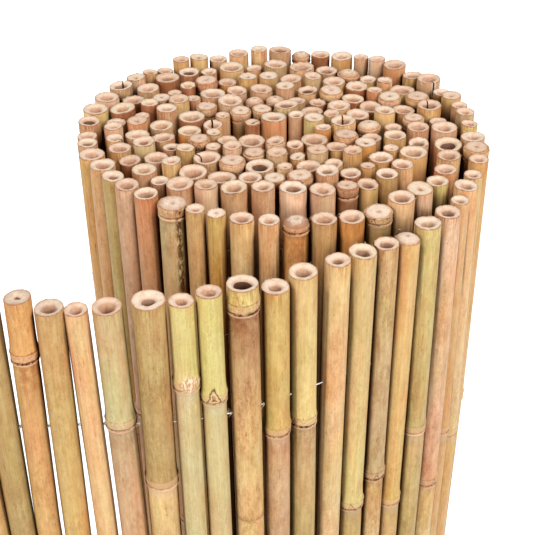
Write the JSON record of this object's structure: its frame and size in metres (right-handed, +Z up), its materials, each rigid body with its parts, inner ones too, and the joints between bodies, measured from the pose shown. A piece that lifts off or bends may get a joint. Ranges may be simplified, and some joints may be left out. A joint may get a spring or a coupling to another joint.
{
  "type": "bamboo fence panel",
  "caption": "Rolled bamboo fence panel: whole canes stood side by side and threaded on galvanised wires, with the outer end unrolled.",
  "frame": {"origin": "bottom centre of the box round the whole panel, on the floor that the cane ends stand on", "axes": "+Z up along the canes, -Y towards the viewer, -X towards the unrolled free end, +X towards the roll"},
  "size_m": [0.4157, 0.3866, 1],
  "materials": {
    "bamboo": "natural cane, unvarnished",
    "galvanised_wire": "dull zinc"
  },
  "bodies": {
    "root": {"core_canes": "bamboo", "fifth_turn_canes": "bamboo", "fourth_turn_canes": "bamboo", "outer_turn_cane_01": "bamboo", "outer_turn_cane_02": "bamboo", "outer_turn_cane_03": "bamboo", "outer_turn_cane_04": "bamboo", "outer_turn_cane_05": "bamboo", "outer_turn_cane_06": "bamboo", "outer_turn_cane_07": "bamboo", "outer_turn_cane_08": "bamboo", "outer_turn_cane_09": "bamboo", "outer_turn_cane_10": "bamboo", "outer_turn_cane_11": "bamboo", "outer_turn_cane_12": "bamboo", "outer_turn_cane_13": "bamboo", "outer_turn_cane_14": "bamboo", "outer_turn_cane_15": "bamboo", "outer_turn_cane_16": "bamboo", "outer_turn_cane_17": "bamboo", "outer_turn_cane_18": "bamboo", "outer_turn_left_canes": "bamboo", "outer_turn_right_canes": "bamboo", "second_turn_canes": "bamboo", "sixth_turn_canes": "bamboo", "tail_cane_01": "bamboo", "tail_cane_02": "bamboo", "tail_cane_03": "bamboo", "tail_cane_04": "bamboo", "tail_cane_05": "bamboo", "tail_cane_06": "bamboo", "tail_cane_07": "bamboo", "tail_cane_08": "bamboo", "tail_cane_09": "bamboo", "tail_cane_10": "bamboo", "tail_cane_11": "bamboo", "tail_cane_12": "bamboo", "tail_cane_13": "bamboo", "tail_cane_14": "bamboo", "tail_cane_15": "bamboo", "tail_cane_16": "bamboo", "tail_cane_17": "bamboo", "tail_cane_18": "bamboo", "tail_cane_19": "bamboo", "tail_cane_20": "bamboo", "tail_cane_21": "bamboo", "tail_cane_22": "bamboo", "tail_cane_23": "bamboo", "tail_cane_24": "bamboo", "tail_cane_25": "bamboo", "third_turn_canes": "bamboo", "top_wire": "galvanised_wire", "upper_wire": "galvanised_wire", "lower_wire": "galvanised_wire", "bottom_wire": "galvanised_wire"}
  },
  "joints": []
}
